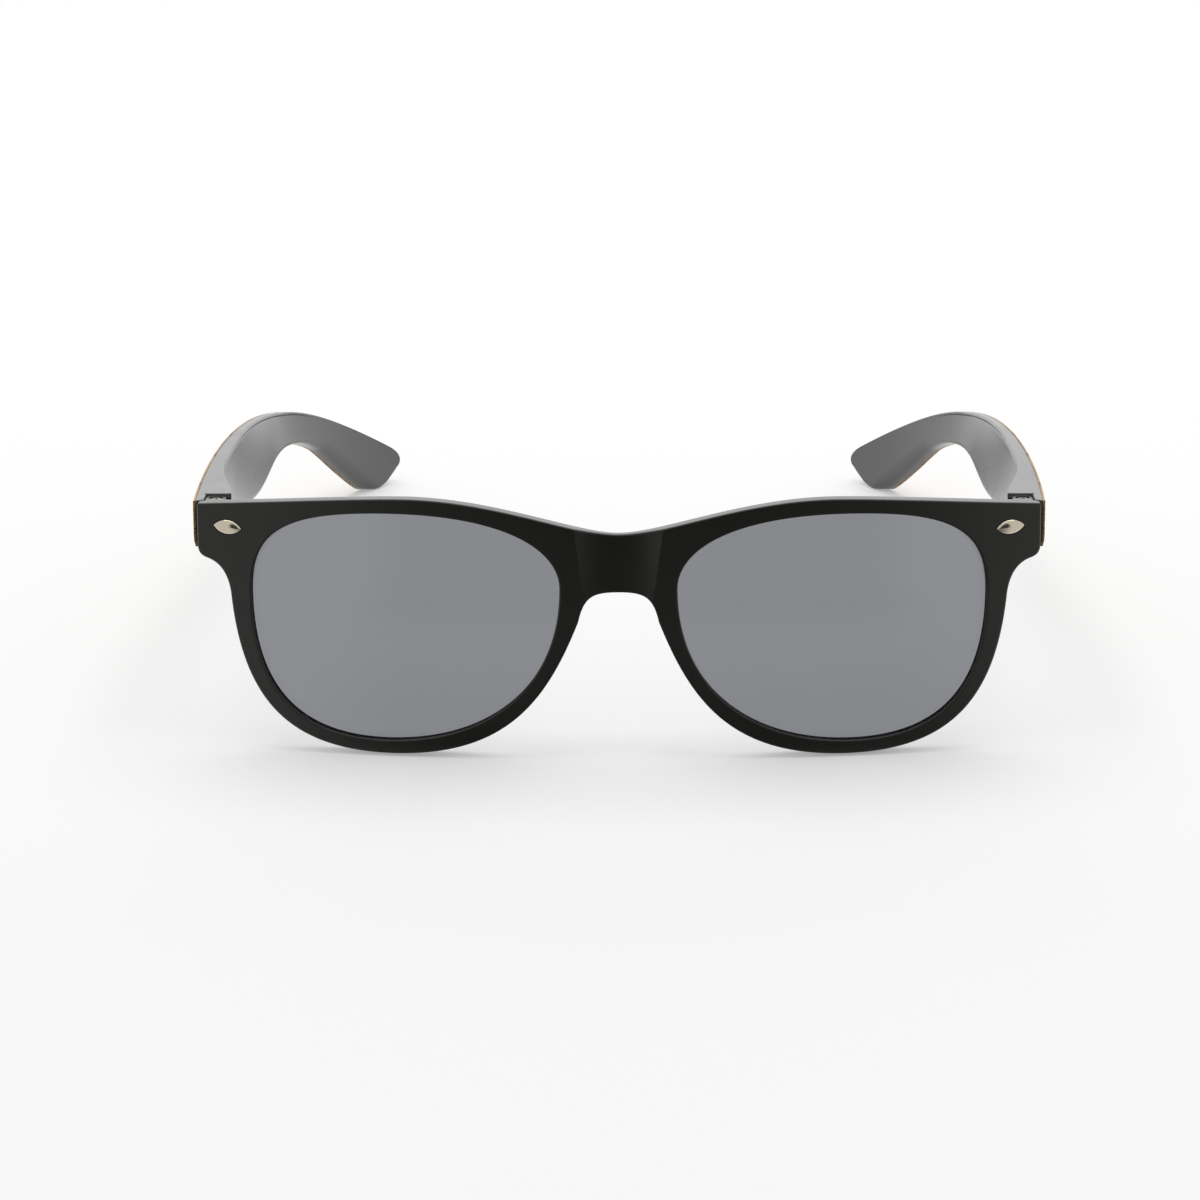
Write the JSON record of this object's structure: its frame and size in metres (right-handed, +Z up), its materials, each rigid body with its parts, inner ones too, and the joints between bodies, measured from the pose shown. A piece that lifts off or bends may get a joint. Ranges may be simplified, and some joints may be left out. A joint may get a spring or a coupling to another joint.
{
  "type": "sunglasses",
  "caption": "Plastic sunglasses: a wrapped one-piece front with two tinted lenses, almond rivets, and two veneered temples that fold on moulded screw hinges.",
  "frame": {"origin": "centre of the bounding box, at the level that the rims and the temple tips stand on", "axes": "+X to the wearer's left, +Y from the front back along the temples, +Z up"},
  "size_m": [0.1486, 0.1484, 0.0451],
  "materials": {
    "frame_plastic": "fine moulded satin black",
    "temple_plastic": "fine moulded satin black",
    "smoke_lens": "clear, tinted smoke grey",
    "bright_rivet": "polished, warm nickel",
    "hinge_screw": "turned steel",
    "wood_veneer": "thin, sealed, matt"
  },
  "bodies": {
    "front": {"front_frame": "frame_plastic", "left_lens": "smoke_lens", "right_lens": "smoke_lens", "left_front_rivet": "bright_rivet", "right_front_rivet": "bright_rivet", "left_hinge_screw": "hinge_screw", "right_hinge_screw": "hinge_screw"},
    "left_temple": {"left_temple": "temple_plastic", "left_temple_veneer": "wood_veneer"},
    "right_temple": {"right_temple": "temple_plastic", "right_temple_veneer": "wood_veneer"}
  },
  "joints": [
    {"name": "left_temple_fold", "type": "hinge", "parent": "front", "child": "left_temple", "pos_m": [0.0697, -0.05873, 0.03782], "axis": [0, 0.1209, 0.9927], "range_deg": [0, 81]},
    {"name": "right_temple_fold", "type": "hinge", "parent": "front", "child": "right_temple", "pos_m": [-0.0697, -0.05873, 0.03782], "axis": [0, -0.1209, -0.9927], "range_deg": [0, 59]}
  ]
}
